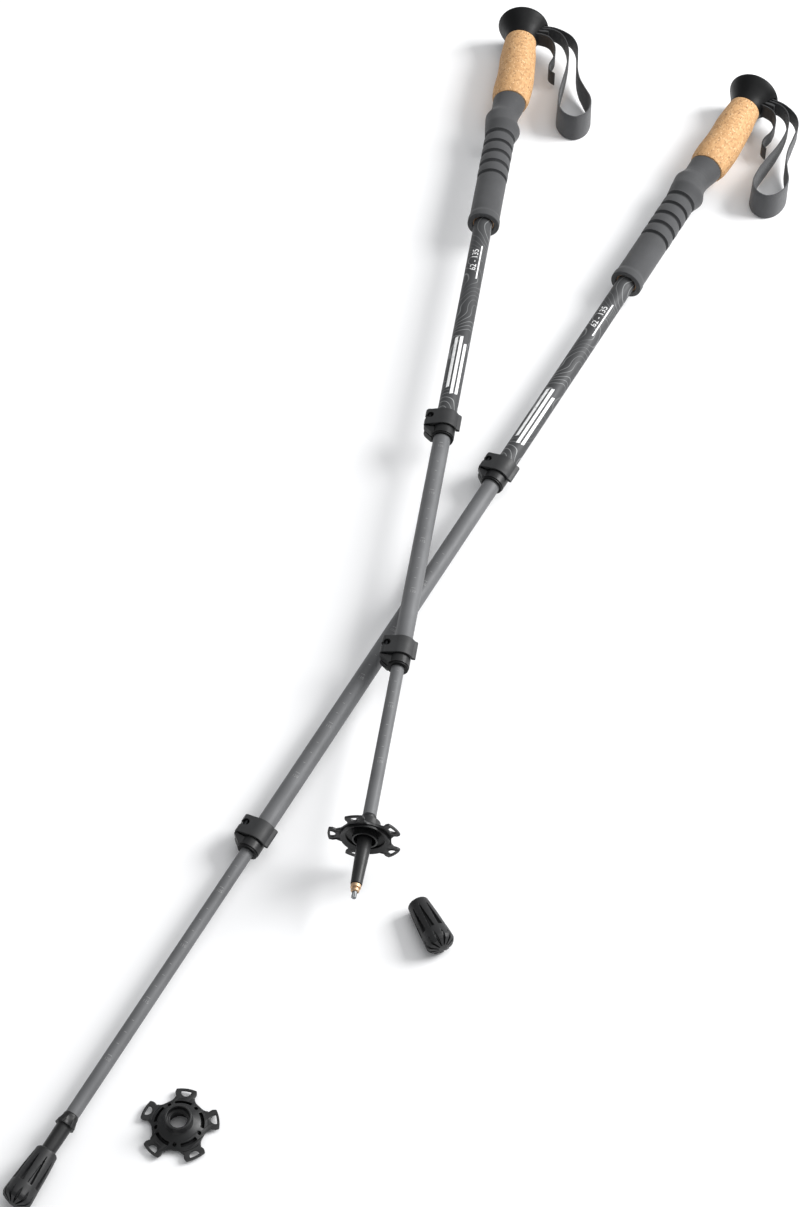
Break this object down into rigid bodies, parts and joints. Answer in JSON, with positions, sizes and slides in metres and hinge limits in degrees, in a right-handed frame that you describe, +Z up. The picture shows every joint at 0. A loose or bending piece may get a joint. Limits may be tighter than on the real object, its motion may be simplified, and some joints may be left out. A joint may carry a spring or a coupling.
{
  "type": "trekking poles",
  "caption": "Pair of telescoping trekking poles with cork and foam grips, wrist straps, flip locks, carbide tips, a trail basket and rubber feet, laid crossed with spares beside them.",
  "frame": {"origin": "middle of the whole set's footprint, on the ground", "axes": "+Y towards the grips along the longest extent, +X right, +Z up"},
  "size_m": [0.6186, 1.1668, 0.0657],
  "materials": {
    "black_plastic": "fine matte moulded",
    "grey_plastic": "satin moulded",
    "webbing": "woven polyester webbing",
    "cork": "natural cork, lightly sanded",
    "foam": "matte EVA foam",
    "dark_tube": "dark anodised with a light contour line print",
    "grey_tube": "grey anodised satin",
    "rubber": "matte moulded rubber",
    "steel": "plain",
    "brass": "turned",
    "carbide": "ground"
  },
  "bodies": {
    "pole_b_upper_section": {"pole_b_pommel": "black_plastic", "pole_b_strap_pin": "steel", "pole_b_cork_grip": "cork", "pole_b_foam_grip": "foam", "pole_b_upper_tube": "dark_tube", "pole_b_upper_clamp": "black_plastic", "pole_b_upper_pivot": "steel", "pole_b_upper_screw": "steel", "pole_b_upper_bushing": "black_plastic"},
    "pole_b_middle_section": {"pole_b_middle_tube": "grey_tube", "pole_b_middle_guide": "grey_plastic", "pole_b_lower_clamp": "black_plastic", "pole_b_lower_pivot": "steel", "pole_b_lower_screw": "steel", "pole_b_lower_bushing": "black_plastic"},
    "pole_b_lower_section": {"pole_b_lower_tube": "grey_tube", "pole_b_lower_guide": "grey_plastic", "pole_b_tip_ferrule": "grey_plastic", "pole_b_tip_collar": "brass", "pole_b_carbide_tip": "carbide"},
    "pole_b_upper_lever": {"pole_b_upper_lever": "black_plastic"},
    "pole_b_lower_lever": {"pole_b_lower_lever": "black_plastic"},
    "pole_b_strap": {"pole_b_strap": "webbing"},
    "pole_b_strap_wedge": {"pole_b_strap_wedge": "grey_plastic"},
    "pole_a_upper_section": {"pole_a_pommel": "black_plastic", "pole_a_strap_pin": "steel", "pole_a_cork_grip": "cork", "pole_a_foam_grip": "foam", "pole_a_upper_tube": "dark_tube", "pole_a_upper_clamp": "black_plastic", "pole_a_upper_pivot": "steel", "pole_a_upper_screw": "steel", "pole_a_upper_bushing": "black_plastic"},
    "pole_a_middle_section": {"pole_a_middle_tube": "grey_tube", "pole_a_middle_guide": "grey_plastic", "pole_a_lower_clamp": "black_plastic", "pole_a_lower_pivot": "steel", "pole_a_lower_screw": "steel", "pole_a_lower_bushing": "black_plastic"},
    "pole_a_lower_section": {"pole_a_lower_tube": "grey_tube", "pole_a_lower_guide": "grey_plastic", "pole_a_tip_ferrule": "grey_plastic", "pole_a_tip_collar": "brass", "pole_a_carbide_tip": "carbide"},
    "pole_a_upper_lever": {"pole_a_upper_lever": "black_plastic"},
    "pole_a_lower_lever": {"pole_a_lower_lever": "black_plastic"},
    "pole_a_strap": {"pole_a_strap": "webbing"},
    "pole_a_strap_wedge": {"pole_a_strap_wedge": "grey_plastic"},
    "mounted_basket": {"mounted_basket": "black_plastic"},
    "mounted_rubber_foot": {"mounted_rubber_foot": "rubber"},
    "loose_basket": {"loose_basket": "black_plastic"},
    "loose_rubber_foot": {"loose_rubber_foot": "rubber"}
  },
  "joints": [
    {"name": "pole_b_middle_slide", "type": "slide", "parent": "pole_b_upper_section", "child": "pole_b_middle_section", "axis": [-0.4745, -0.8802, -0.0104], "range_m": [-0.36, 0.023]},
    {"name": "pole_b_lower_slide", "type": "slide", "parent": "pole_b_middle_section", "child": "pole_b_lower_section", "axis": [-0.4745, -0.8802, -0.0104], "range_m": [-0.233, 0.11]},
    {"name": "pole_a_lift", "type": "slide", "parent": "pole_b_upper_section", "child": "pole_a_middle_section", "axis": [0, 0, 1], "range_m": [0, 0.3]},
    {"name": "pole_a_upper_slide", "type": "slide", "parent": "pole_a_middle_section", "child": "pole_a_upper_section", "axis": [0.1521, 0.9882, -0.017], "range_m": [-0.205, 0.178]},
    {"name": "pole_a_lower_slide", "type": "slide", "parent": "pole_a_middle_section", "child": "pole_a_lower_section", "axis": [-0.1521, -0.9882, 0.017], "range_m": [-0.132, 0.21]},
    {"name": "pole_b_upper_lever_hinge", "type": "hinge", "parent": "pole_b_upper_section", "child": "pole_b_upper_lever", "pos_m": [0.02341, 0.05032, 0.02259], "axis": [-0.4745, -0.8802, -0.0104], "range_deg": [0, 115]},
    {"name": "pole_b_lower_lever_hinge", "type": "hinge", "parent": "pole_b_middle_section", "child": "pole_b_lower_lever", "pos_m": [-0.15926, -0.2906, 0.01835], "axis": [-0.4745, -0.8802, -0.0104], "range_deg": [0, 115]},
    {"name": "pole_b_strap_hinge", "type": "hinge", "parent": "pole_b_upper_section", "child": "pole_b_strap", "pos_m": [0.27577, 0.46869, 0.02309], "axis": [-0.0049, -0.0091, 0.9999], "range_deg": [-3.5, 3.5]},
    {"name": "pole_b_wedge_slide", "type": "slide", "parent": "pole_b_upper_section", "child": "pole_b_strap_wedge", "axis": [0.8802, -0.4745, 0], "range_m": [0, 0.004]},
    {"name": "pole_a_upper_lever_hinge", "type": "hinge", "parent": "pole_a_upper_section", "child": "pole_a_upper_lever", "pos_m": [-0.02267, 0.08454, 0.03623], "axis": [-0.1521, -0.9882, 0.017], "range_deg": [0, 115]},
    {"name": "pole_a_lower_lever_hinge", "type": "hinge", "parent": "pole_a_middle_section", "child": "pole_a_lower_lever", "pos_m": [-0.05701, -0.14518, 0.03995], "axis": [-0.1521, -0.9882, 0.017], "range_deg": [0, 115]},
    {"name": "pole_a_strap_hinge", "type": "hinge", "parent": "pole_a_upper_section", "child": "pole_a_strap", "pos_m": [0.07487, 0.56312, 0.02338], "axis": [0.0026, 0.0168, 0.9999], "range_deg": [-3.5, 3.5]},
    {"name": "pole_a_wedge_slide", "type": "slide", "parent": "pole_a_upper_section", "child": "pole_a_strap_wedge", "axis": [0.9884, -0.1521, 0], "range_m": [0, 0.004]},
    {"name": "basket_slide", "type": "slide", "parent": "pole_a_lower_section", "child": "mounted_basket", "axis": [-0.1521, -0.9882, 0.017], "range_m": [0, 0.075]},
    {"name": "rubber_foot_slide", "type": "slide", "parent": "pole_b_lower_section", "child": "mounted_rubber_foot", "axis": [-0.4745, -0.8802, -0.0104], "range_m": [0, 0.045]},
    {"name": "loose_basket_lift", "type": "slide", "parent": "pole_b_upper_section", "child": "loose_basket", "axis": [0, 0, 1], "range_m": [0, 0.15]},
    {"name": "loose_foot_lift", "type": "slide", "parent": "pole_b_upper_section", "child": "loose_rubber_foot", "axis": [0, 0, 1], "range_m": [0, 0.15]}
  ]
}
